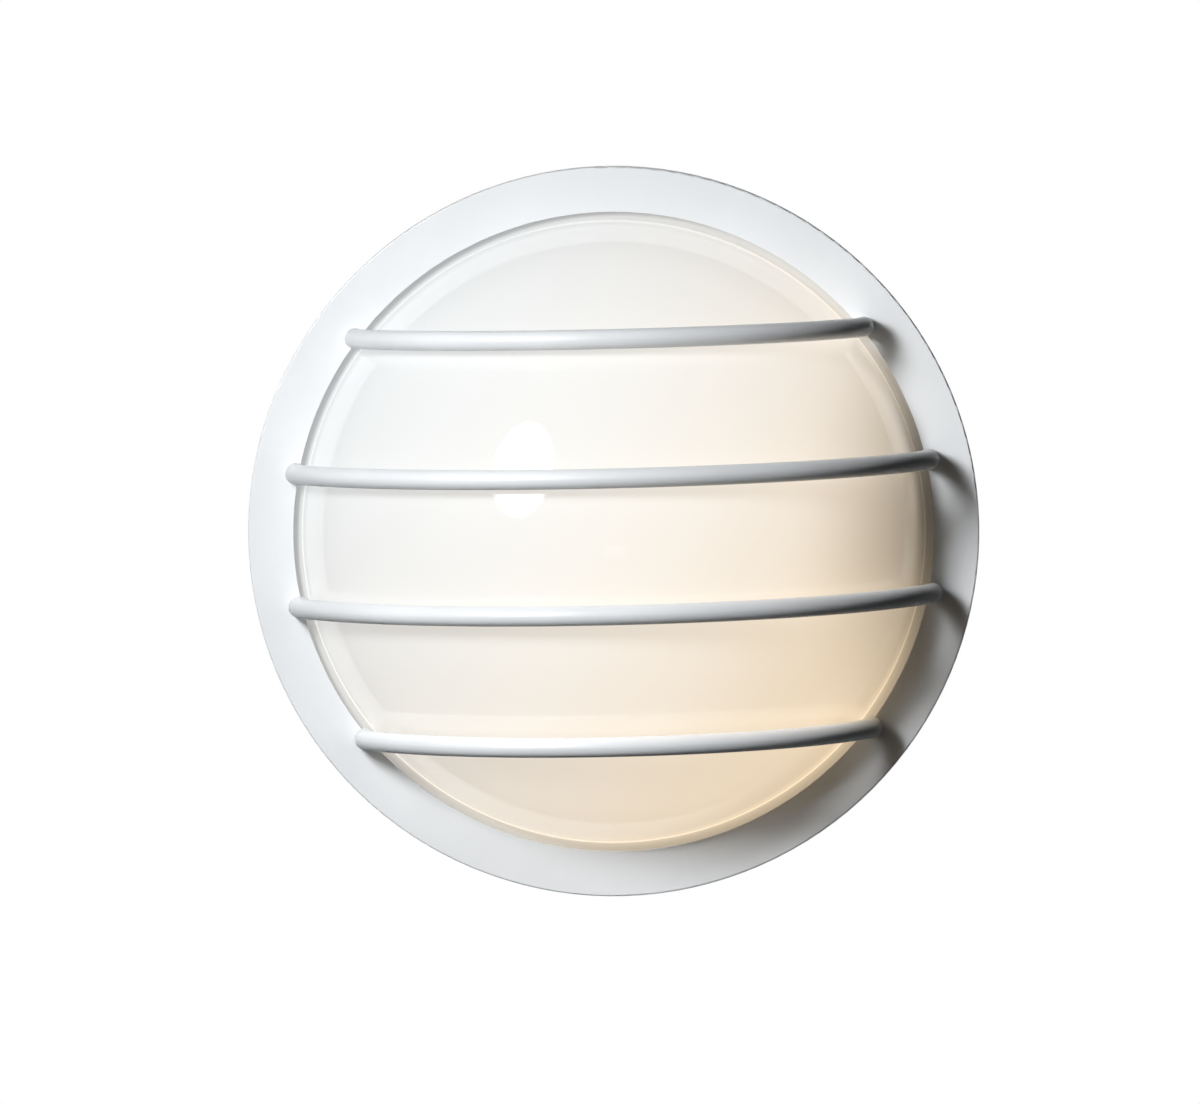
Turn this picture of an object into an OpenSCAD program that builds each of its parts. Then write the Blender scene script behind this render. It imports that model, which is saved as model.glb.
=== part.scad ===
// Round bulkhead light: a cast pan on the wall, an opal glass dome, and a guard ring with four bowed bars.
// Millimetres. The wall is the plane Y = 0, the light faces -Y, and +Z is up.

/* [Guard] */
// Outside diameter of the guard ring
ring_d = 260; // [254:2:290]
// Width of the ring's flat face
ring_face_w = 16; // [15:0.5:18]
// Thickness of the ring's face
ring_face_t = 3; // [2.5:0.5:4]
// Thickness of the ring's skirt
skirt_t = 3.5; // [3:0.25:4]
// Depth of the skirt, from the ring's front
skirt_depth = 17; // [13:1:19]
// Diameter of the guard rods
rod_d = 7; // [6:0.5:8]
// Spacing of the four bars
bar_pitch = 47.5; // [42:0.5:52]
// Air gap between the glass and the bars
bar_gap = 3.5; // [2.5:0.5:6]
// Radius of the bend where a bar turns back to the ring
bend_r = 12; // [9:1:16]

/* [Glass] */
// Rise of the dome in front of the ring
dome_rise = 78; // [68:1:84]
// Thickness of the glass
glass_t = 3.5; // [3:0.25:4]
// Thickness of the flange round the glass
flange_t = 5; // [4:0.5:6]
// Radius between the dome and its neck
shoulder_r = 25; // [18:1:32]

/* [Pan] */
// Distance from the wall to the front of the ring
front_z = 42; // [40:1:50]
// Wall thickness of the casting
pan_t = 3; // [2.5:0.5:3.5]
// Diameter of the circle of wall screws
fixing_circle_d = 180; // [166:2:182]
// Diameter of the wall screw holes
fixing_d = 5.5; // [4.5:0.5:6.5]
// Number of wall screws
fixing_count = 3; // [3:1:4]
// Diameter of the cable entry
cable_d = 9; // [7:0.5:10]

/* [Lamp] */
// Diameter of the lamp's bulb
bulb_d = 60; // [50:1:64]
// Length of the lamp
lamp_len = 105; // [98:1:110]
// Distance from the wall to the lamp's axis
lamp_z = 46; // [44:1:48]

/* [Hidden] */
$fn = 96;
eps = 0.1;

paint_white = [0.93, 0.94, 0.95];
opal_white = [0.96, 0.93, 0.86];
rubber_grey = [0.25, 0.25, 0.26];
silicone_grey = [0.8, 0.8, 0.78];
zinc_grey = [0.7, 0.71, 0.72];
brass_yellow = [0.8, 0.65, 0.3];
porcelain_white = [0.95, 0.94, 0.9];
lead_brown = [0.36, 0.2, 0.1];
lead_blue = [0.1, 0.25, 0.6];
lead_green = [0.2, 0.55, 0.15];
glass_black = [0.1, 0.1, 0.11];

// ring, seen as radii about the light's axis
ring_or = ring_d / 2;
ring_ir = ring_or - ring_face_w;
ring_back_z = front_z - ring_face_t;
skirt_ir = ring_or - skirt_t;
skirt_z = front_z - skirt_depth;
ring_edge_r = 0.6;
skirt_edge_r = 0.8;

// rods: each end stands in a blind seat that is open to the ring's inner edge
rod_r = rod_d / 2;
leg_offset = 1;
leg_circle_r = ring_ir + leg_offset;
seat_depth = 2;
seat_gap = 0.05;
seat_z = front_z - seat_depth;
joint_swell = 0.02;
bar_y = [1.5 * bar_pitch, 0.5 * bar_pitch, -0.5 * bar_pitch, -1.5 * bar_pitch];

// glass: a sphere for the dome, a vertical neck, and a shoulder that blends the two
leg_gap = 0.5;
neck_r = leg_circle_r - rod_r - leg_gap;
neck_ir = neck_r - glass_t;
dome_r = (neck_r * neck_r + dome_rise * dome_rise) / (2 * dome_rise);
dome_z = front_z + dome_rise - dome_r;
bar_sphere_r = dome_r + bar_gap + rod_r;
neck_fillet = 2;
flange_edge_r = 1;

// stack under the ring: gasket, glass flange, gasket, shelf of the pan
gasket_front_t = 1;
gasket_back_t = 2.5;
gasket_web_t = 2;
gasket_gap = 0.5;
flange_top_z = ring_back_z - gasket_front_t;
flange_z = flange_top_z - flange_t;
shelf_z = flange_z - gasket_back_t;

// pan, from its rim inwards
rim_gap = 0.5;
rim_or = skirt_ir - rim_gap;
rim_ir = rim_or - pan_t;
rim_top_gap = 1.5;
rim_top_z = ring_back_z - rim_top_gap;
gasket_or = rim_ir - gasket_gap;
flange_r = gasket_or - gasket_web_t;
shelf_step = 11;
pan_r = rim_or - shelf_step;
pan_ir = pan_r - pan_t;
wall_gasket_t = 3;
pan_back_z = wall_gasket_t;
floor_z = pan_back_z + pan_t;
pan_edge_r = 4;
casting_fillet = 3;
wall_gasket_inset = 1;
wall_gasket_or = pan_r - pan_edge_r - wall_gasket_inset;
wall_gasket_w = 13;

// set screws that hold the ring
set_screw_r = 2;
set_screw_len = 5;
set_screw_count = 3;
set_screw_start = 90;
set_screw_sink = 0.2;
set_screw_key = 2;
set_screw_z = (shelf_z + rim_top_z) / 2;
set_screw_tip_r = ring_or - set_screw_sink - set_screw_len;
dimple_gap = 0.2;

// wall fixings and cable entry
seal_t = 1.5;
seal_rim = 3.75;
fixing_pad_h = 1.5;
fixing_pad_rim = 5;
fixing_pad_z = floor_z + fixing_pad_h;
grommet_wall = 3;
grommet_hole_r = cable_d / 2 + grommet_wall;
grommet_lip = 3;
grommet_front_t = 2.5;
grommet_back_t = 2;
grommet_pos = [-34, 62];

// M4 screws into the pan
screw_r = 2;
screw_head_r = 3.8;
screw_head_t = 2.4;
screw_slot_w = 1;
screw_slot_t = 1.2;
boss_r = 5;
boss_h = 5;
screw_floor = 1.5;

// lampholder, measured along the lamp's axis from the bracket
holder_base_r = 22;
holder_base_len = 12;
holder_r = 20;
holder_len = 42;
holder_edge_r = 2;
holder_bore_r = 15.2;
holder_floor = 9;
// room for the leads behind the bracket
holder_clear = 19.5;
holder_x = neck_ir - holder_clear;
shell_t = 0.8;
shell_fit = 0.1;
shell_or = holder_bore_r - shell_fit;
shell_len = 29;
shell_base_ir = 9;
contact_w = 7;
contact_t = 0.6;
contact_len = 8;

// lamp, measured along its axis like the lampholder
cap_fit = 0.3;
cap_r = shell_or - shell_t - cap_fit;
cap_t = 0.5;
cap_len = 23;
cap_start = 12;
tip_r = 4.5;
tip_t = 1;
insulator_r = 10;
insulator_tip_r = 5.5;
insulator_len = 4;
insulator_lip = 1.5;
cap_z = cap_start + tip_t + insulator_len;
cap_top_z = cap_z + cap_len;
bulb_r = bulb_d / 2;
bulb_t = 1;
bulb_neck_r = cap_r - cap_t;
bulb_blend_r = 30;
bulb_seat = 8;
bulb_z = cap_start + lamp_len - bulb_r;

// bracket
bracket_t = 2;
bracket_w = 26;
bracket_foot = 30;
bracket_bend_r = 2;
bracket_top = 16;
bracket_z = floor_z + boss_h;
bracket_screw_pitch = 14;
bracket_screw_in = 20;
bracket_screw_x = holder_x - bracket_screw_in;
holder_screw_r = 1.75;
holder_screw_pitch = 20;
holder_screw_depth = 6;
holder_hole_y = 17;
holder_hole_depth = 7;
holder_clamp_r = 1.5;
holder_clamp_at = 4;

// leads: bows behind the lampholder, and a run on the pan's floor to the terminal block
lead_r = 1.1;
lead_hole_r = 1.3;
lead_sides = 8;
lead_steps = 4;
lead_end_gap = 1;
lead_holder_out = 5;
lead_block_out = 6;
lead_lie = 4;
lead_z = floor_z + lead_lie;
lead_bow = 11;
lead_bow_drop = 7;
lead_bow_foot = 8;
live_bow_rise = 5;
live_corner_y = 12;
live_turn_x = 16;
live_turn_y = 19;
neutral_bow_y = -4;
neutral_corner_x = 6;
neutral_corner_y = 14;
neutral_turn_x = 24;
neutral_turn_y = 27;
earth_turn_x = 3;
earth_turn_y = 14;
earth_turn_drop = 3;

// terminal block
block_pos = [18, 58];
pole_pitch = 10;
pole_count = 3;
block_w = 34;
block_d = 20;
block_h = 15;
block_lug = 6;
block_edge_r = 1.5;
block_lug_h = 5;
block_pad_h = 3;
block_z = floor_z + block_pad_h;
tube_r = 3.2;
tube_gap = 0.1;
tube_len = 18;
tube_bore_r = 1.5;
tube_lift = 6;
tube_z = block_z + tube_lift;
clamp_r = 1.5;
clamp_pitch = 9;
clamp_head_r = 1.9;
clamp_sink = 1;
block_screw_r = 1.5;
block_screw_head_r = 2.8;
block_screw_head_t = 2;
block_screw_pitch = block_w + block_lug;
lead_in = 7;
block_y = block_pos[1] - block_d / 2;

// earth point
earth_pos = [-22, 38];
earth_boss_h = 4;
tag_t = 0.8;
tag_r = 4.5;
tag_barrel_r = 2;
tag_barrel_len = 8;
tag_barrel_at = 7;
washer_t = 0.8;
washer_r = 4;

// sub-parts are drawn with z as the distance from the wall and y upwards
module upright() {
    rotate([90, 0, 0]) children();
}

module ring_2d(r_in, r_out, z_low, z_high) {
    translate([r_in, z_low]) square([r_out - r_in, z_high - z_low]);
}

// the corner between two straight edges and an arc of radius r, with dir pointing from the corner to the
// arc's centre: added, it fills an inner corner; taken away, it rounds an outer one
module corner_2d(corner, r, dir) {
    translate(corner) scale_dir(dir) difference() {
        translate([-eps, -eps]) square([r + eps, r + eps]);
        translate([r, r]) circle(r);
    }
}

module scale_dir(dir) {
    mirror([dir[0] < 0 ? 1 : 0, 0]) mirror([0, dir[1] < 0 ? 1 : 0]) children();
}

// rectangle about the origin with round corners
module slab_2d(w, d, r) {
    square([w, d - 2 * r], center = true);
    square([w - 2 * r, d], center = true);
    for (x = [-1, 1], y = [-1, 1]) {
        translate([x * (w / 2 - r), y * (d / 2 - r)]) circle(r);
    }
}

module about_axis(count, start) {
    for (i = [0:count - 1]) {
        rotate(start + i * 360 / count) children();
    }
}

// slotted cheese-head screw, head above z = 0, shank below
module screw(r, len, head_r, head_t) {
    difference() {
        union() {
            cylinder(r = head_r, h = head_t);
            translate([0, 0, -len]) cylinder(r = r, h = len + eps);
        }
        translate([-head_r - eps, -screw_slot_w / 2, head_t - screw_slot_t])
            cube([2 * (head_r + eps), screw_slot_w, screw_slot_t + eps]);
    }
}

// origin on the lampholder's back, z along the lamp
module along_lamp() {
    translate([holder_x, 0, lamp_z]) rotate([0, -90, 0]) children();
}

// foam ring between the pan and the wall
module wall_gasket() {
    color(rubber_grey) upright() rotate_extrude()
        ring_2d(wall_gasket_or - wall_gasket_w, wall_gasket_or, 0, wall_gasket_t);
}

// casting: floor, wall, shelf for the glass and a rim round it
module back_pan() {
    color(paint_white) upright() difference() {
        union() {
            rotate_extrude() pan_2d();
            pan_bosses();
        }
        about_axis(fixing_count, set_screw_start)
            translate([fixing_circle_d / 2, 0, pan_back_z - eps])
                cylinder(d = fixing_d, h = pan_t + fixing_pad_h + 2 * eps);
        translate([grommet_pos[0], grommet_pos[1], pan_back_z - eps])
            cylinder(r = grommet_hole_r, h = pan_t + 2 * eps);
        for (y = [-1, 1]) {
            pan_screw_hole([bracket_screw_x, y * bracket_screw_pitch / 2], boss_h, screw_r);
        }
        for (x = [-1, 1]) {
            pan_screw_hole(block_pos + [x * block_screw_pitch / 2, 0], block_pad_h, block_screw_r);
        }
        pan_screw_hole(earth_pos, earth_boss_h, screw_r);
        about_axis(set_screw_count, set_screw_start)
            translate([set_screw_tip_r, 0, set_screw_z]) rotate([0, 90, 0])
                cylinder(r = set_screw_r + dimple_gap, h = pan_t);
    }
}

module pan_2d() {
    difference() {
        union() {
            ring_2d(0, pan_r, pan_back_z, floor_z);
            ring_2d(pan_ir, pan_r, pan_back_z, shelf_z);
            ring_2d(pan_ir, rim_or, shelf_z - pan_t, shelf_z);
            ring_2d(rim_ir, rim_or, shelf_z - pan_t, rim_top_z);
            corner_2d([pan_ir, floor_z], casting_fillet, [-1, 1]);
            corner_2d([pan_r, shelf_z - pan_t], casting_fillet, [1, -1]);
        }
        corner_2d([pan_r, pan_back_z], pan_edge_r, [-1, 1]);
        corner_2d([rim_or, shelf_z - pan_t], ring_edge_r, [-1, 1]);
    }
}

module pan_bosses() {
    about_axis(fixing_count, set_screw_start)
        translate([fixing_circle_d / 2, 0, floor_z - eps])
            cylinder(r = fixing_d / 2 + fixing_pad_rim, h = fixing_pad_h + eps);
    for (y = [-1, 1]) {
        translate([bracket_screw_x, y * bracket_screw_pitch / 2, floor_z - eps])
            cylinder(r = boss_r, h = boss_h + eps);
    }
    translate([earth_pos[0], earth_pos[1], floor_z - eps]) cylinder(r = boss_r, h = earth_boss_h + eps);
    translate([block_pos[0], block_pos[1], floor_z - eps]) linear_extrude(block_pad_h + eps)
        slab_2d(block_w + 2 * block_lug, block_d / 2, block_d / 4 - eps);
}

module pan_screw_hole(pos, boss, r) {
    translate([pos[0], pos[1], pan_back_z + screw_floor]) cylinder(r = r, h = pan_t + boss);
}

// rubber grommet, snapped into the floor of the pan
module cable_grommet() {
    color(rubber_grey) upright() translate([grommet_pos[0], grommet_pos[1], 0]) rotate_extrude() {
        ring_2d(cable_d / 2, grommet_hole_r, pan_back_z - grommet_back_t, floor_z + grommet_front_t);
        ring_2d(cable_d / 2, grommet_hole_r + grommet_lip, floor_z, floor_z + grommet_front_t);
        ring_2d(cable_d / 2, grommet_hole_r + grommet_lip, pan_back_z - grommet_back_t, pan_back_z);
    }
}

// rubber washers under the heads of the wall screws
module fixing_seals() {
    color(rubber_grey) upright() about_axis(fixing_count, set_screw_start)
        translate([fixing_circle_d / 2, 0, 0]) rotate_extrude()
            ring_2d(fixing_d / 2, fixing_d / 2 + seal_rim, fixing_pad_z, fixing_pad_z + seal_t);
}

// ring tag crimped on the earth lead
module earth_tag() {
    tag_z = floor_z + earth_boss_h;
    color(zinc_grey) upright() translate([earth_pos[0], earth_pos[1], tag_z]) difference() {
        union() {
            cylinder(r = tag_r, h = tag_t);
            translate([0, -tag_barrel_r, 0]) cube([tag_barrel_at + tag_barrel_len, 2 * tag_barrel_r, tag_t]);
            translate([tag_barrel_at, 0, tag_barrel_r]) rotate([0, 90, 0])
                cylinder(r = tag_barrel_r, h = tag_barrel_len);
        }
        translate([0, 0, -eps]) cylinder(r = screw_r + eps, h = tag_t + 2 * eps);
        translate([tag_barrel_at - eps, 0, tag_barrel_r]) rotate([0, 90, 0])
            cylinder(r = lead_r, h = tag_barrel_len + 2 * eps);
    }
}

module earth_washer() {
    washer_z = floor_z + earth_boss_h + tag_t;
    color(zinc_grey) upright() translate([earth_pos[0], earth_pos[1], 0]) rotate_extrude()
        ring_2d(screw_r + eps, washer_r, washer_z, washer_z + washer_t);
}

module earth_screw() {
    head_z = floor_z + earth_boss_h + tag_t + washer_t;
    color(brass_yellow) upright() translate([earth_pos[0], earth_pos[1], head_z])
        screw(screw_r, head_z - pan_back_z - screw_floor - eps, screw_head_r, screw_head_t);
}

function pole_x(i) = block_pos[0] + (i - (pole_count - 1) / 2) * pole_pitch;

// porcelain block with a lug at each end
module terminal_block() {
    color(porcelain_white) upright() difference() {
        union() {
            translate([block_pos[0], block_pos[1], block_z]) linear_extrude(block_h)
                slab_2d(block_w, block_d, block_edge_r);
            translate([block_pos[0], block_pos[1], block_z]) linear_extrude(block_lug_h)
                slab_2d(block_w + 2 * block_lug, block_d / 2, block_d / 4 - eps);
        }
        for (i = [0:pole_count - 1]) {
            translate([pole_x(i), block_pos[1] + block_d / 2 + eps, tube_z]) rotate([90, 0, 0])
                cylinder(r = tube_r + tube_gap, h = block_d + 2 * eps);
            for (y = [-1, 1]) {
                translate([pole_x(i), block_pos[1] + y * clamp_pitch / 2, tube_z])
                    cylinder(r = clamp_head_r + eps, h = block_h);
            }
        }
        for (x = [-1, 1]) {
            translate([block_pos[0] + x * block_screw_pitch / 2, block_pos[1], block_z - eps])
                cylinder(r = block_screw_r + eps, h = block_lug_h + 2 * eps);
        }
    }
}

// brass tubes that join the supply to the leads
module terminal_tubes() {
    color(brass_yellow) upright() for (i = [0:pole_count - 1]) {
        translate([pole_x(i), block_pos[1], tube_z - tube_gap]) difference() {
            rotate([90, 0, 0]) cylinder(r = tube_r, h = tube_len, center = true);
            rotate([90, 0, 0]) cylinder(r = tube_bore_r, h = tube_len + 2 * eps, center = true);
            for (y = [-1, 1]) {
                translate([0, y * clamp_pitch / 2, 0]) cylinder(r = clamp_r, h = tube_r + eps);
            }
        }
    }
}

// two clamping screws on each tube, the tips on the conductors
module terminal_screws() {
    tip_z = tube_z - tube_gap + lead_r;
    clamp_len = block_z + block_h - clamp_sink - tip_z;
    color(zinc_grey) upright() for (i = [0:pole_count - 1], y = [-1, 1]) {
        translate([pole_x(i), block_pos[1] + y * clamp_pitch / 2, tip_z]) difference() {
            cylinder(r = clamp_r - seat_gap, h = clamp_len);
            translate([-clamp_r, -screw_slot_w / 2, clamp_len - screw_slot_t])
                cube([2 * clamp_r, screw_slot_w, screw_slot_t + eps]);
        }
    }
}

module terminal_fixings() {
    head_z = block_z + block_lug_h;
    color(zinc_grey) upright() for (x = [-1, 1]) {
        translate([block_pos[0] + x * block_screw_pitch / 2, block_pos[1], head_z])
            screw(block_screw_r, head_z - pan_back_z - screw_floor - eps,
                  block_screw_head_r, block_screw_head_t);
    }
}

// bent steel strip: foot on the pan's bosses, upright behind the lampholder
module lamp_bracket() {
    top_z = lamp_z + bracket_top;
    color(zinc_grey) upright() difference() {
        translate([0, bracket_w / 2, 0]) rotate([90, 0, 0]) linear_extrude(bracket_w) difference() {
            union() {
                ring_2d(holder_x + bracket_t - bracket_foot, holder_x + bracket_t,
                        bracket_z, bracket_z + bracket_t);
                ring_2d(holder_x, holder_x + bracket_t, bracket_z, top_z);
                corner_2d([holder_x, bracket_z + bracket_t], bracket_bend_r, [-1, 1]);
            }
            corner_2d([holder_x + bracket_t, bracket_z], bracket_bend_r + bracket_t, [-1, 1]);
        }
        for (y = [-1, 1]) {
            translate([bracket_screw_x, y * bracket_screw_pitch / 2, bracket_z - eps])
                cylinder(r = screw_r + eps, h = bracket_t + 2 * eps);
            translate([holder_x - eps, y * holder_screw_pitch / 2, lamp_z]) rotate([0, 90, 0])
                cylinder(r = holder_screw_r + eps, h = bracket_t + 2 * eps);
        }
    }
}

module bracket_screws() {
    head_z = bracket_z + bracket_t;
    color(zinc_grey) upright() for (y = [-1, 1]) {
        translate([bracket_screw_x, y * bracket_screw_pitch / 2, head_z])
            screw(screw_r, head_z - pan_back_z - screw_floor - eps, screw_head_r, screw_head_t);
    }
}

// porcelain lampholder, open towards the lamp
module lampholder_body() {
    color(porcelain_white) upright() along_lamp() difference() {
        rotate_extrude() difference() {
            union() {
                ring_2d(0, holder_base_r, 0, holder_base_len);
                ring_2d(0, holder_r, 0, holder_len);
            }
            ring_2d(0, holder_bore_r, holder_floor, holder_len + eps);
            corner_2d([holder_r, holder_len], holder_edge_r, [-1, -1]);
            corner_2d([holder_base_r, holder_base_len], holder_edge_r / 2, [-1, -1]);
        }
        for (y = [-1, 1]) {
            translate([0, y * holder_screw_pitch / 2, -eps])
                cylinder(r = holder_screw_r, h = holder_screw_depth + 2 * eps);
            translate([0, y * holder_hole_y, -eps]) cylinder(r = lead_hole_r, h = holder_hole_depth + eps);
            translate([0, y * holder_hole_y, holder_clamp_at]) rotate([-90 * y, 0, 0])
                cylinder(r = holder_clamp_r, h = holder_base_r);
        }
    }
}

// screwed shell with a foot on the porcelain
module lampholder_shell() {
    color(brass_yellow) upright() along_lamp() rotate_extrude() {
        ring_2d(shell_or - shell_t, shell_or, holder_floor, holder_floor + shell_len);
        ring_2d(shell_base_ir, shell_or, holder_floor, holder_floor + shell_t);
    }
}

// spring tongue under the tip of the lamp
module lampholder_contact() {
    rise = cap_start - holder_floor;
    color(brass_yellow) upright() along_lamp()
        translate([0, contact_w / 2, holder_floor]) rotate([90, 0, 0]) linear_extrude(contact_w) {
            translate([-contact_len / 2, 0]) square([contact_len, contact_t]);
            translate([contact_len / 2 - contact_t, 0]) square([contact_t, rise]);
            translate([-contact_len / 4, rise - contact_t]) square([contact_len * 3 / 4, contact_t]);
        }
}

// screws that clamp the leads in the porcelain
module lampholder_terminals() {
    color(brass_yellow) upright() along_lamp() for (y = [-1, 1]) {
        translate([0, y * (holder_hole_y + lead_r), holder_clamp_at]) rotate([-90 * y, 0, 0])
            cylinder(r = holder_clamp_r - seat_gap, h = holder_base_r - holder_hole_y - lead_r - clamp_sink);
    }
}

module holder_screws() {
    color(zinc_grey) upright() for (y = [-1, 1]) {
        translate([holder_x + bracket_t, y * holder_screw_pitch / 2, lamp_z]) rotate([0, 90, 0])
            screw(holder_screw_r, bracket_t + holder_screw_depth, screw_head_r - eps, screw_head_t);
    }
}

// half section of a bulb: a sphere, and a neck that runs into it by a hollow curve
module bulb_2d(r, neck, blend, foot) {
    hollow_r = neck + blend;
    hollow_z = bulb_z - sqrt((r + blend) * (r + blend) - hollow_r * hollow_r);
    intersection() {
        translate([0, bulb_z]) circle(r);
        ring_2d(0, r, bulb_z - r, bulb_z + r);
    }
    difference() {
        polygon([[0, foot], [neck, foot], [neck, hollow_z], [hollow_r, hollow_z], [0, bulb_z]]);
        translate([hollow_r, hollow_z]) circle(blend);
    }
}

// disc at the lamp's end
module lamp_contact() {
    color(brass_yellow) upright() along_lamp() translate([0, 0, cap_start]) cylinder(r = tip_r, h = tip_t);
}

// black glass between the disc and the cap
module lamp_insulator() {
    low = cap_start + tip_t;
    color(glass_black) upright() along_lamp() rotate_extrude() {
        polygon([[0, low], [insulator_tip_r, low], [insulator_r, cap_z], [insulator_r, cap_z + 2 * cap_t],
                 [0, cap_z + 2 * cap_t]]);
        ring_2d(0, insulator_r + insulator_lip, cap_z + cap_t, cap_z + insulator_lip);
    }
}

// screw cap, turned in over the insulator
module lamp_cap() {
    color(zinc_grey) upright() along_lamp() rotate_extrude() {
        ring_2d(cap_r - cap_t, cap_r, cap_z, cap_top_z);
        ring_2d(insulator_r, cap_r, cap_z, cap_z + cap_t);
    }
}

// glass bulb, its neck cemented into the cap
module lamp_bulb() {
    foot = cap_top_z - bulb_seat;
    color(opal_white) upright() along_lamp() rotate_extrude() difference() {
        bulb_2d(bulb_r, bulb_neck_r, bulb_blend_r, foot);
        bulb_2d(bulb_r - bulb_t, bulb_neck_r - bulb_t, bulb_blend_r + bulb_t, foot - eps);
    }
}

// smooth curve through the points p
function spline_at(p, i, t) =
    let (a = p[max(i - 1, 0)], b = p[i], c = p[i + 1], d = p[min(i + 2, len(p) - 1)])
    0.5 * ((2 * b) + (c - a) * t + (2 * a - 5 * b + 4 * c - d) * t * t
           + (3 * b - a - 3 * c + d) * t * t * t);

function spline(p) = concat(
    [for (i = [0:len(p) - 2], s = [0:lead_steps - 1]) spline_at(p, i, s / lead_steps)],
    [p[len(p) - 1]]);

function unit(v) = v / norm(v);

function tangent(q, i) = unit(q[min(i + 1, len(q) - 1)] - q[max(i - 1, 0)]);

function square_to(v, t) = unit(v - (v * t) * t);

// one closed tube along the points q, carried round without twist
module tube(q, r, side) {
    last = len(q) - 1;
    sides = [for (i = 0, n = square_to(side, tangent(q, 0)); i <= last;
                  i = i + 1, n = i <= last ? square_to(n, tangent(q, i)) : n) n];
    points = [for (i = [0:last]) let (t = tangent(q, i), n = sides[i], b = cross(t, n))
              for (k = [0:lead_sides - 1]) let (a = (k + 0.5) * 360 / lead_sides)
              q[i] + r * (cos(a) * n + sin(a) * b)];
    walls = [for (i = [0:last - 1], k = [0:lead_sides - 1]) let (m = (k + 1) % lead_sides)
             each [[i * lead_sides + k, (i + 1) * lead_sides + k, i * lead_sides + m],
                   [i * lead_sides + m, (i + 1) * lead_sides + k, (i + 1) * lead_sides + m]]];
    first_cap = [for (k = [0:lead_sides - 1]) k];
    last_cap = [for (k = [lead_sides - 1:-1:0]) last * lead_sides + k];
    polyhedron(points = points, faces = concat(walls, [first_cap], [last_cap]));
}

function pole_end(i) = [[pole_x(i), block_y - lead_block_out, tube_z - tube_gap],
                        [pole_x(i), block_y, tube_z - tube_gap],
                        [pole_x(i), block_y + lead_in, tube_z - tube_gap]];

function holder_end(y) = [[holder_x - holder_hole_depth + lead_end_gap, y, lamp_z],
                          [holder_x, y, lamp_z],
                          [holder_x + lead_holder_out, y, lamp_z],
                          [holder_x + lead_bow, y + lead_end_gap, lamp_z - lead_bow_drop]];

// where a lead turns up from the pan's floor to a tube
function pole_approach(i) = [[pole_x(i), block_y - 2 * lead_block_out, tube_z - tube_gap - lead_end_gap]];

module live_lead() {
    color(lead_brown) upright() tube(spline(concat(
        holder_end(holder_hole_y),
        [[holder_x + lead_bow - lead_end_gap, holder_hole_y + live_bow_rise, lead_z + lead_bow_foot],
         [holder_x, holder_hole_y + live_corner_y, lead_z],
         [pole_x(2) + live_turn_x, block_y - live_turn_y, lead_z]],
        pole_approach(2), pole_end(2))), lead_r, [0, 0, 1]);
}

module neutral_lead() {
    color(lead_blue) upright() tube(spline(concat(
        holder_end(-holder_hole_y),
        [[holder_x + lead_bow + lead_end_gap, neutral_bow_y, lead_z + lead_bow_foot],
         [holder_x + neutral_corner_x, neutral_corner_y, lead_z],
         [pole_x(1) + neutral_turn_x, block_y - neutral_turn_y, lead_z]],
        pole_approach(1), pole_end(1))), lead_r, [0, 0, 1]);
}

module earth_lead() {
    tag_axis_z = floor_z + earth_boss_h + tag_barrel_r;
    barrel_x = earth_pos[0] + tag_barrel_at;
    color(lead_green) upright() tube(spline(concat(
        [[barrel_x + lead_end_gap, earth_pos[1], tag_axis_z],
         [barrel_x + tag_barrel_len, earth_pos[1], tag_axis_z],
         [barrel_x + tag_barrel_len + lead_block_out, earth_pos[1], tag_axis_z],
         [pole_x(0) - earth_turn_x, block_y - earth_turn_y, tube_z - earth_turn_drop]],
        pole_end(0))), lead_r, [0, 0, 1]);
}

// rubber channel round the flange of the glass
module glass_gasket() {
    color(silicone_grey) upright() rotate_extrude() {
        ring_2d(neck_r, gasket_or, shelf_z, flange_z);
        ring_2d(flange_r, gasket_or, shelf_z, ring_back_z);
        ring_2d(ring_ir, gasket_or, flange_top_z, ring_back_z);
    }
}

// half section of a dome of radius r about the dome's centre, with a neck of radius neck below it
module dome_2d(r, neck, blend) {
    bx = neck - blend;
    bz = dome_z + sqrt((r - blend) * (r - blend) - bx * bx);
    reach = 2 * r;
    a = atan2(bz - dome_z, bx);
    intersection() {
        translate([0, dome_z]) circle(r);
        translate([0, dome_z]) polygon([[0, 0], [reach * cos(a), reach * sin(a)], [0, reach]]);
    }
    intersection() {
        translate([bx, bz]) circle(blend);
        ring_2d(0, neck + eps, flange_z, reach);
    }
    ring_2d(0, neck, flange_z, bz);
    ring_2d(0, bx, flange_z, bz + blend * sin(a));
}

// blown opal glass: dome, neck and flange
module glass_dome() {
    color(opal_white) upright() rotate_extrude() difference() {
        union() {
            dome_2d(dome_r, neck_r, shoulder_r);
            ring_2d(neck_ir, flange_r, flange_z, flange_top_z);
            corner_2d([neck_r, flange_top_z], neck_fillet, [1, 1]);
        }
        dome_2d(dome_r - glass_t, neck_ir, shoulder_r - glass_t);
        corner_2d([flange_r, flange_top_z], flange_edge_r, [-1, -1]);
        corner_2d([flange_r, flange_z], flange_edge_r, [-1, 1]);
    }
}

function leg_x(y) = sqrt(leg_circle_r * leg_circle_r - y * y);

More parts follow.
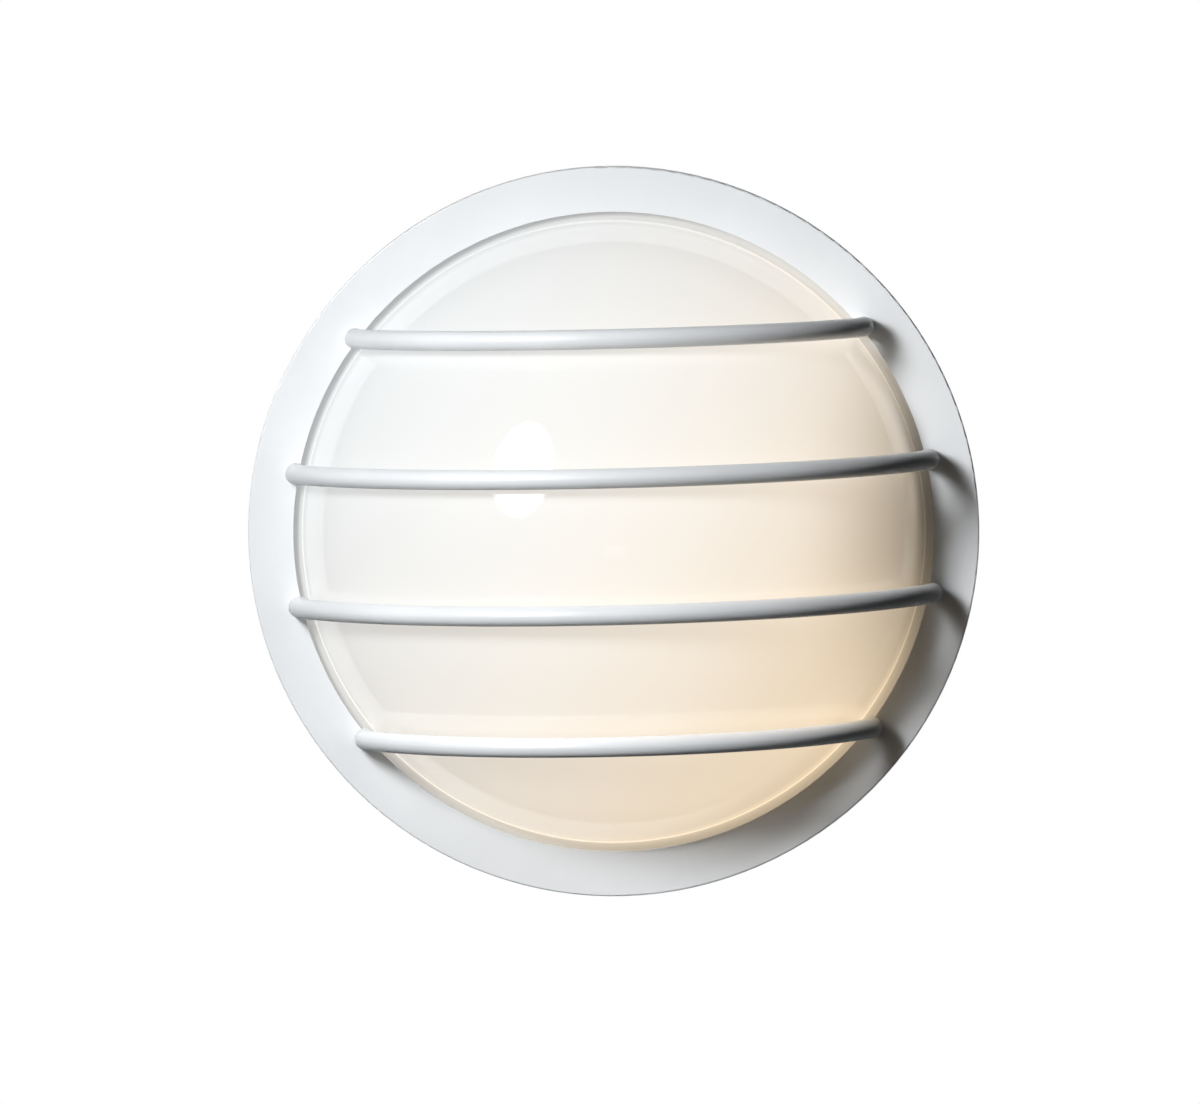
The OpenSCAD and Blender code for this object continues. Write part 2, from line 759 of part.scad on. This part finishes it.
// flat face and skirt, with a seat for every rod end and tapped holes for the set screws
module guard_ring() {
    color(paint_white) upright() difference() {
        rotate_extrude() difference() {
            union() {
                ring_2d(ring_ir, ring_or, ring_back_z, front_z);
                ring_2d(skirt_ir, ring_or, skirt_z, front_z);
            }
            corner_2d([ring_or, front_z], ring_edge_r, [-1, -1]);
            corner_2d([ring_or, skirt_z], skirt_edge_r, [-1, 1]);
        }
        for (y = bar_y, side = [-1, 1]) {
            translate([side * leg_x(y), y, seat_z]) cylinder(r = rod_r + seat_gap, h = seat_depth + eps);
        }
        about_axis(set_screw_count, set_screw_start)
            translate([skirt_ir - eps, 0, set_screw_z]) rotate([0, 90, 0])
                cylinder(r = set_screw_r, h = skirt_t + 2 * eps);
    }
}

// one rod: an arc over the glass, a bend and a short leg at each end
module bar(y) {
    arc_r = sqrt(bar_sphere_r * bar_sphere_r - y * y);
    x = leg_x(y);
    bx = x - bend_r;
    bz = dome_z + sqrt((arc_r - bend_r) * (arc_r - bend_r) - bx * bx);
    a = atan2(bz - dome_z, bx);
    color(paint_white) upright() translate([0, y, 0]) {
        translate([0, 0, dome_z]) rotate([90, 0, 0]) rotate([0, 0, a])
            rotate_extrude(angle = 180 - 2 * a) translate([arc_r, 0]) circle(rod_r);
        for (side = [0, 1]) {
            mirror([side, 0, 0]) {
                translate([arc_r * cos(a), 0, dome_z + arc_r * sin(a)]) sphere(rod_r + joint_swell);
                translate([bx, 0, bz]) rotate([90, 0, 0])
                    rotate_extrude(angle = a) translate([bend_r, 0]) circle(rod_r);
                translate([x, 0, bz]) sphere(rod_r + joint_swell);
                translate([x, 0, seat_z]) cylinder(r = rod_r, h = bz - seat_z);
            }
        }
    }
}

module guard_bar_top() {
    bar(bar_y[0]);
}

module guard_bar_upper() {
    bar(bar_y[1]);
}

module guard_bar_lower() {
    bar(bar_y[2]);
}

module guard_bar_bottom() {
    bar(bar_y[3]);
}

// set screws, flush with the skirt, the tips in the rim of the pan
module ring_screws() {
    color(zinc_grey) upright() about_axis(set_screw_count, set_screw_start)
        translate([set_screw_tip_r, 0, set_screw_z]) rotate([0, 90, 0]) difference() {
            cylinder(r = set_screw_r, h = set_screw_len);
            translate([0, 0, set_screw_len / 2]) cylinder(d = set_screw_key, h = set_screw_len, $fn = 6);
        }
}

wall_gasket();
back_pan();
cable_grommet();
fixing_seals();
earth_tag();
earth_washer();
earth_screw();
terminal_block();
terminal_tubes();
terminal_screws();
terminal_fixings();
lamp_bracket();
bracket_screws();
lampholder_body();
lampholder_shell();
lampholder_contact();
lampholder_terminals();
holder_screws();
lamp_contact();
lamp_insulator();
lamp_cap();
lamp_bulb();
live_lead();
neutral_lead();
earth_lead();
glass_gasket();
glass_dome();
guard_ring();
guard_bar_top();
guard_bar_upper();
guard_bar_lower();
guard_bar_bottom();
ring_screws();
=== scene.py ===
import math
import bpy
from mathutils import Matrix, Vector

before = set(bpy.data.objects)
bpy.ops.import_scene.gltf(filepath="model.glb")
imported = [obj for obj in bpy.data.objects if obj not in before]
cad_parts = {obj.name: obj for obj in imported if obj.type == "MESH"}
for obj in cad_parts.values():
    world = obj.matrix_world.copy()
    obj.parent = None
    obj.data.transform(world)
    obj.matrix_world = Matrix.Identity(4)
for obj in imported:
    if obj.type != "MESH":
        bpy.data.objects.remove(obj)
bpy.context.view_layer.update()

# Wall gasket: a flat ring of closed-cell foam, stuck to the back of the pan.
# It is squeezed between the pan and the wall when the wall screws are tightened.


def start_finish(name, colour, roughness, metallic=0.0):
    finish = bpy.data.materials.new(name)
    finish.use_nodes = True
    shader = finish.node_tree.nodes["Principled BSDF"]
    shader.inputs["Base Color"].default_value = (*colour, 1.0)
    shader.inputs["Roughness"].default_value = roughness
    shader.inputs["Metallic"].default_value = metallic
    return finish, finish.node_tree, shader


def speckle(tree, size, detail=2.0):
    place = tree.nodes.new("ShaderNodeTexCoord")
    noise = tree.nodes.new("ShaderNodeTexNoise")
    noise.inputs["Scale"].default_value = 1.0 / size
    noise.inputs["Detail"].default_value = detail
    tree.links.new(place.outputs["Object"], noise.inputs["Vector"])
    return noise.outputs["Fac"]


def spread(tree, value, low, high, start=0.3, end=0.7):
    ranged = tree.nodes.new("ShaderNodeMapRange")
    ranged.interpolation_type = "SMOOTHSTEP"
    ranged.inputs["From Min"].default_value = start
    ranged.inputs["From Max"].default_value = end
    ranged.inputs["To Min"].default_value = low
    ranged.inputs["To Max"].default_value = high
    tree.links.new(value, ranged.inputs["Value"])
    return ranged.outputs["Result"]


def two_tone(tree, value, first, second):
    mixed = tree.nodes.new("ShaderNodeMix")
    mixed.data_type = "RGBA"
    for end, tone in (("A", first), ("B", second)):
        if isinstance(tone, tuple):
            mixed.inputs[end].default_value = (*tone, 1.0)
        else:
            tree.links.new(tone, mixed.inputs[end])
    tree.links.new(value, mixed.inputs["Factor"])
    return mixed.outputs["Result"]


def emboss(tree, shader, height, depth, strength=1.0):
    bump = tree.nodes.new("ShaderNodeBump")
    bump.inputs["Strength"].default_value = strength
    bump.inputs["Distance"].default_value = depth
    tree.links.new(height, bump.inputs["Height"])
    tree.links.new(bump.outputs["Normal"], shader.inputs["Normal"])


def dress(node, finish):
    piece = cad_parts[node]
    for material_slot in piece.material_slots:
        material_slot.material = finish


foam, tree, shader = start_finish("foam", (0.06, 0.06, 0.065), 0.95)
cells = speckle(tree, 0.0006, 3.0)
foam_colour = two_tone(tree, cells, (0.045, 0.045, 0.05), (0.10, 0.10, 0.105))
tree.links.new(foam_colour, shader.inputs["Base Color"])
emboss(tree, shader, cells, 0.0003)
dress("wall_gasket", foam)

# Back pan: an aluminium casting, powder coated white inside and out.
# It is screwed to the wall and carries every other piece.


def powder_coat(name, colour, shade, gloss):
    coat, tree, shader = start_finish(name, colour, gloss)
    patches = spread(tree, speckle(tree, 0.035, 3.0), 0.0, 1.0)
    tree.links.new(two_tone(tree, patches, colour, shade), shader.inputs["Base Color"])
    peel = speckle(tree, 0.0014, 2.0)
    tree.links.new(spread(tree, peel, gloss - 0.05, gloss + 0.07), shader.inputs["Roughness"])
    emboss(tree, shader, peel, 0.00004, 0.6)
    return coat


dress("back_pan", powder_coat("pan_coat", (0.80, 0.81, 0.82), (0.76, 0.77, 0.78), 0.45))

# Cable grommet and fixing seals: soft black rubber, snapped into the pan's floor
# where the cable comes in and laid round the three wall screw holes.


def mottle(tree, shader, pattern, first, second, smooth, rough):
    tree.links.new(two_tone(tree, pattern, first, second), shader.inputs["Base Color"])
    tree.links.new(spread(tree, pattern, smooth, rough), shader.inputs["Roughness"])


rubber, tree, shader = start_finish("rubber", (0.03, 0.03, 0.032), 0.7)
bloom = speckle(tree, 0.004, 4.0)
mottle(tree, shader, bloom, (0.02, 0.02, 0.022), (0.06, 0.06, 0.06), 0.6, 0.85)
emboss(tree, shader, speckle(tree, 0.0008), 0.00003)
dress("cable_grommet", rubber)
dress("fixing_seals", rubber)

# Screws, washer, tag and bracket: steel, zinc plated, with a fine crystalline bloom.
# The bracket is bent from strip and screwed to two bosses of the pan.
zinc, tree, shader = start_finish("zinc_plate", (0.58, 0.59, 0.61), 0.35, 1.0)
crystals = speckle(tree, 0.0012, 4.0)
mottle(tree, shader, crystals, (0.50, 0.52, 0.55), (0.68, 0.68, 0.67), 0.28, 0.48)
emboss(tree, shader, crystals, 0.00002)
for node in ("earth_tag", "earth_washer", "terminal_screws", "terminal_fixings",
             "lamp_bracket", "bracket_screws", "holder_screws", "ring_screws"):
    dress(node, zinc)

# Brass pieces: the terminal tubes, the earth screw, and the lampholder's shell, contact and clamps.
# They are left bare, and have gone a little dull.
brass, tree, shader = start_finish("brass", (0.72, 0.53, 0.22), 0.3, 1.0)
tarnish = speckle(tree, 0.005, 4.0)
mottle(tree, shader, tarnish, (0.76, 0.58, 0.26), (0.50, 0.35, 0.15), 0.22, 0.45)
emboss(tree, shader, speckle(tree, 0.0007), 0.00001)
for node in ("terminal_tubes", "lampholder_shell", "lampholder_contact",
             "lampholder_terminals", "earth_screw"):
    dress(node, brass)

# Terminal block and lampholder body: glazed white porcelain, pressed and fired.
# The glaze is glossy, a little uneven, and pale cream where it is thick.
porcelain, tree, shader = start_finish("porcelain", (0.84, 0.82, 0.76), 0.12)
glaze = speckle(tree, 0.008, 3.0)
mottle(tree, shader, glaze, (0.86, 0.84, 0.79), (0.79, 0.76, 0.69), 0.08, 0.2)
emboss(tree, shader, glaze, 0.00015, 0.5)
dress("terminal_block", porcelain)
dress("lampholder_body", porcelain)

# Leads: stranded copper in glossy insulation, brown for live, blue for neutral, green for earth.
# They run from the terminal block to the lampholder and to the pan's earth screw.


def insulation(name, colour):
    sleeve, tree, shader = start_finish(name, colour, 0.35)
    flow = speckle(tree, 0.003, 2.0)
    paler = tuple(0.75 * c + 0.05 for c in colour)
    mottle(tree, shader, flow, colour, paler, 0.3, 0.45)
    emboss(tree, shader, flow, 0.00003)
    return sleeve


dress("live_lead", insulation("brown_insulation", (0.12, 0.05, 0.025)))
dress("neutral_lead", insulation("blue_insulation", (0.02, 0.08, 0.35)))
dress("earth_lead", insulation("green_insulation", (0.08, 0.30, 0.04)))

# Lamp: a frosted glass bulb cemented into a screw cap, with black glass and a brass disc
# at the cap's end. It is screwed into the lampholder, lies across the dome, and is lit.
frosted, tree, shader = start_finish("frosted_bulb", (0.9, 0.88, 0.82), 0.5)
frost = speckle(tree, 0.0009, 2.0)
tree.links.new(spread(tree, frost, 0.4, 0.6), shader.inputs["Roughness"])
emboss(tree, shader, frost, 0.00002)
lamp_colour = two_tone(tree, speckle(tree, 0.02), (1.0, 0.80, 0.52), (1.0, 0.72, 0.42))
tree.links.new(lamp_colour, shader.inputs["Emission Color"])
shader.inputs["Emission Strength"].default_value = 2.0
dress("lamp_bulb", frosted)
dress("lamp_cap", zinc)
dress("lamp_contact", brass)
black_glass, tree, shader = start_finish("black_glass", (0.015, 0.015, 0.017), 0.1)
seeds = speckle(tree, 0.003, 3.0)
tree.links.new(spread(tree, seeds, 0.06, 0.2), shader.inputs["Roughness"])
emboss(tree, shader, seeds, 0.00004)
dress("lamp_insulator", black_glass)

# Glass gasket: a channel of pale silicone rubber, stretched round the flange of the glass.
# The ring squeezes it on the pan's shelf.
silicone, tree, shader = start_finish("silicone", (0.62, 0.62, 0.60), 0.6)
haze = speckle(tree, 0.006, 3.0)
mottle(tree, shader, haze, (0.66, 0.66, 0.64), (0.55, 0.55, 0.52), 0.5, 0.75)
emboss(tree, shader, speckle(tree, 0.001), 0.00003)
dress("glass_gasket", silicone)

# Glass dome: blown opal glass, glossy outside, with a flange that the ring clamps.
# Its glow is painted light from the lit lamp: cool and dimmer at the upper left, where the key lamp
# falls, and warmest and brightest low on the right, in the key lamp's shade. Painted shade dims the
# neck in the pan, the flange, the rim on the right, and the right side, where the lampholder's
# shadow is painted.


def measured(tree, kind, reference):
    place = tree.nodes.new("ShaderNodeTexCoord")
    measure = tree.nodes.new("ShaderNodeVectorMath")
    measure.operation = kind
    measure.inputs[1].default_value = reference
    tree.links.new(place.outputs["Object"], measure.inputs[0])
    return measure


def along(tree, direction):
    return measured(tree, "DOT_PRODUCT", direction).outputs["Value"]


def away_from(tree, point):
    return measured(tree, "DISTANCE", point).outputs["Value"]


def times(tree, result, *factors):
    for factor in factors:
        product = tree.nodes.new("ShaderNodeMath")
        product.operation = "MULTIPLY"
        tree.links.new(result, product.inputs[0])
        tree.links.new(factor, product.inputs[1])
        result = product.outputs["Value"]
    return result


opal, tree, shader = start_finish("opal_glass", (0.26, 0.265, 0.265), 0.05)
opal_ior = 1.57
shader.inputs["IOR"].default_value = opal_ior

# Painted light: the glow is cool at the upper left, where the key lamp falls, and warm low on the
# right, in its shade.
key_lit_cool_glow = (0.873, 0.941, 1.0)
key_shade_warm_glow = (0.528, 0.354, 0.152)
warm_way_from_key = (0.774, 0.0, -0.633)
warmth_in_key_shade = spread(tree, along(tree, warm_way_from_key), 0.0, 1.0, start=-0.25, end=0.25)
painted_glow_colour = two_tone(tree, warmth_in_key_shade, key_lit_cool_glow, key_shade_warm_glow)
tree.links.new(painted_glow_colour, shader.inputs["Emission Color"])

# Painted light: the glow is dimmer at the upper left, where the key lamp falls, and brighter low on
# the right, in its shade.
brighter_way_from_key = (0.835, 0.0, -0.55)
glow_and_painted_fill = spread(tree, along(tree, brighter_way_from_key), 0.759, 1.326, start=-0.112, end=0.112)

# Painted shadow: the lampholder's shadow dims the glow on the right side.
holder_shadow_centre = (0.110, -0.045, -0.002)
painted_holder_shadow = spread(tree, away_from(tree, holder_shadow_centre), 0.40, 1.0, start=0.0, end=0.0795)

off_axis = measured(tree, "MULTIPLY", (1.0, 0.0, 1.0))
length = tree.nodes.new("ShaderNodeVectorMath")
length.operation = "LENGTH"
tree.links.new(off_axis.outputs["Vector"], length.inputs[0])
radius = length.outputs["Value"]
# Painted shade: the glow fades on the flange, down in the gap under the ring.
painted_flange_shade = spread(tree, radius, 1.0, 0.58, start=0.109, end=0.114)

# Painted shade: the glow fades on the neck, down inside the pan.
toward_front = along(tree, (0.0, -1.0, 0.0))
painted_neck_shade = spread(tree, toward_front, 0.9, 1.0, start=0.045, end=0.074)

# Painted shade on the rim at the right, which lies out of the key lamp's light.
shaded_rim = (0.113, -0.040, 0.010)
rim_shade = spread(tree, away_from(tree, shaded_rim), 0.35, 1.0, start=0.0, end=0.08)
only_rim = tree.nodes.new("ShaderNodeMix")
only_rim.inputs["A"].default_value = 1.0
tree.links.new(spread(tree, radius, 0.0, 1.0, start=0.106, end=0.1105), only_rim.inputs["Factor"])
tree.links.new(rim_shade, only_rim.inputs["B"])

painted_glow_strength = times(tree, glow_and_painted_fill, painted_holder_shadow, painted_flange_shade, painted_neck_shade, only_rim.outputs["Result"])
tree.links.new(painted_glow_strength, shader.inputs["Emission Strength"])
emboss(tree, shader, speckle(tree, 0.05, 1.0), 0.0004, 0.25)
polish = spread(tree, speckle(tree, 0.02, 3.0), 0.035, 0.075)
tree.links.new(polish, shader.inputs["Roughness"])
dress("glass_dome", opal)

# Guard ring: a flat aluminium ring with a short skirt, powder coated white.
# Three flush set screws through the skirt hold it, and with it the glass, to the pan.
dress("guard_ring", powder_coat("ring_coat", (0.83, 0.845, 0.86), (0.80, 0.815, 0.83), 0.4))

# Guard bars: four round rods, bowed over the glass and welded into seats in the ring's
# inner edge. They are coated together with the ring.
bar_coat = powder_coat("bar_coat", (0.83, 0.845, 0.86), (0.79, 0.805, 0.82), 0.38)
for node in ("guard_bar_top", "guard_bar_upper", "guard_bar_lower", "guard_bar_bottom"):
    dress(node, bar_coat)

# Studio: a grey room with a white wall far behind the light and a floor below it.
# Its lamp is soft and near, at the upper left, with a bright core. The room is grey to the camera
# and to mirrors, and almost black as a source of light, least on the right.
scene = bpy.context.scene
scene.view_settings.view_transform = "Standard"
room_grey = 0.18


def seen_directly(tree):
    ray = tree.nodes.new("ShaderNodeLightPath")
    seen = ray.outputs["Is Camera Ray"]
    for kind in ("Is Glossy Ray", "Is Transmission Ray"):
        either = tree.nodes.new("ShaderNodeMath")
        either.operation = "MAXIMUM"
        tree.links.new(seen, either.inputs[0])
        tree.links.new(ray.outputs[kind], either.inputs[1])
        seen = either.outputs["Value"]
    return seen


floor_z = -0.5
floor_side = 6.0
floor_front = -8.0
floor_back = 1.4
floor_grey = (0.2, 0.2, 0.2)
floor_level = 0.19
floor_coat, tree, shader = start_finish("floor_coat", floor_grey, 0.8)
shader.inputs["Specular IOR Level"].default_value = 0.0
shader.inputs["Emission Color"].default_value = (1.0, 1.0, 1.0, 1.0)
far = spread(tree, away_from(tree, (0.0, 0.0, floor_z)), 0.0, 1.0, start=0.3, end=1.3)
floor_colour = two_tone(tree, far, floor_grey, (0.0, 0.0, 0.0))
tree.links.new(floor_colour, shader.inputs["Base Color"])
fading_level = spread(tree, far, floor_level, room_grey, start=0.0, end=1.0)
floor_glow = times(tree, seen_directly(tree), fading_level)
tree.links.new(floor_glow, shader.inputs["Emission Strength"])
floor_mesh = bpy.data.meshes.new("floor")
floor_mesh.from_pydata([(-floor_side, floor_front, floor_z), (floor_side, floor_front, floor_z),
                        (floor_side, floor_back, floor_z), (-floor_side, floor_back, floor_z)],
                       [], [(0, 1, 2, 3)])
floor_mesh.materials.append(floor_coat)
floor = bpy.data.objects.new("floor", floor_mesh)
scene.collection.objects.link(floor)

key_place = Vector((-0.359, -0.603, 0.27))
key_target = Vector((0.0, -0.06, 0.0))
key_colour = (0.975, 0.99, 1.0)
key_fan = math.radians(80)
key_line = key_target - key_place
for name, width, height, power in (("key", 0.258, 0.4, 0.43), ("key_core", 0.134, 0.186, 0.81)):
    lamp_data = bpy.data.lights.new(name, "AREA")
    lamp_data.shape = "ELLIPSE"
    lamp_data.size = width
    lamp_data.size_y = height
    lamp_data.energy = power
    lamp_data.color = key_colour
    lamp_data.spread = key_fan
    lamp_data.use_nodes = True
    even = lamp_data.node_tree.nodes.new("ShaderNodeLightFalloff")
    even.inputs["Strength"].default_value = 1.0 / key_line.length_squared
    emitted = lamp_data.node_tree.nodes["Emission"]
    lamp_data.node_tree.links.new(even.outputs["Constant"], emitted.inputs["Strength"])
    lamp = bpy.data.objects.new(name, lamp_data)
    lamp.location = key_place
    lamp.rotation_euler = key_line.to_track_quat("-Z", "Y").to_euler()
    scene.collection.objects.link(lamp)

world = bpy.data.worlds.new("room")
scene.world = world
world.use_nodes = True
room = world.node_tree
direction = room.nodes.new("ShaderNodeTexCoord")
parts = room.nodes.new("ShaderNodeSeparateXYZ")
room.links.new(direction.outputs["Generated"], parts.inputs["Vector"])
to_right = spread(room, parts.outputs["X"], 0.0, 1.0, start=-1.0, end=1.0)
dim = two_tone(room, to_right, (0.014, 0.014, 0.015), (0.002, 0.002, 0.002))
sides = two_tone(room, seen_directly(room), dim, (room_grey, room_grey, room_grey))
behind = spread(room, parts.outputs["Y"], 0.0, 1.0, start=0.65, end=0.92)
walls = two_tone(room, behind, sides, (1.0, 1.0, 1.0))
room.links.new(walls, room.nodes["Background"].inputs["Color"])

# Camera: almost level and straight on, a little above, and turned by the tilt of the photograph.
# The ring's width in the photograph sets the scale, and its centre is a little off the frame's.
photo_width = 1200
ring_width = 731.2
ring_right, ring_up = 13.8, 19.6
ring_diameter = 0.26
pixel = ring_diameter / ring_width
ring_front = Vector((0.0, -0.042, 0.0))
lift = math.radians(3.6)
tilt = math.radians(1.35)
reach = 3.2
back = Vector((0.0, -math.cos(lift), math.sin(lift)))
level_right = Vector((1.0, 0.0, 0.0))
level_up = back.cross(level_right)
up = level_up * math.cos(tilt) + level_right * math.sin(tilt)
right = level_right * math.cos(tilt) - level_up * math.sin(tilt)
aim = ring_front - right * (ring_right * pixel) - up * (ring_up * pixel)
eye = aim + back * reach
camera_data = bpy.data.cameras.new("camera")
camera_data.sensor_fit = "HORIZONTAL"
camera_data.sensor_width = 36.0
camera_data.lens = camera_data.sensor_width * reach / (photo_width * pixel)
camera_data.clip_end = 50.0
camera = bpy.data.objects.new("camera", camera_data)
camera.matrix_world = Matrix((
    (right.x, up.x, back.x, eye.x),
    (right.y, up.y, back.y, eye.y),
    (right.z, up.z, back.z, eye.z),
    (0, 0, 0, 1)))
scene.collection.objects.link(camera)
scene.camera = camera
